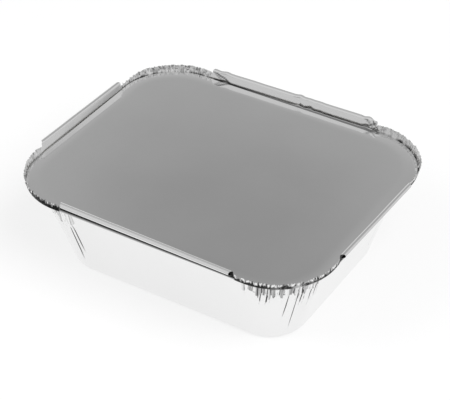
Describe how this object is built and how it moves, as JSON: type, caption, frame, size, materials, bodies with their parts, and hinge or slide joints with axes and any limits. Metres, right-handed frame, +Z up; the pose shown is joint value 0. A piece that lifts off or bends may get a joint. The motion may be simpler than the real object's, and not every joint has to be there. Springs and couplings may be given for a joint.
{
  "type": "foil food container",
  "caption": "Rectangular aluminium foil tray with pleated corners, rolled side flanges and a foil-faced board lid lying on the ledge inside its rim.",
  "frame": {"origin": "centre of the foot, on the surface that the tray stands on", "axes": "+X along the long side, +Y along the short side, +Z up"},
  "size_m": [0.142, 0.117, 0.044],
  "materials": {
    "foil": "bright, crinkled at the corners",
    "lid_board": "satin foil face"
  },
  "bodies": {
    "root": {"container": "foil", "lid": "lid_board"}
  },
  "joints": []
}
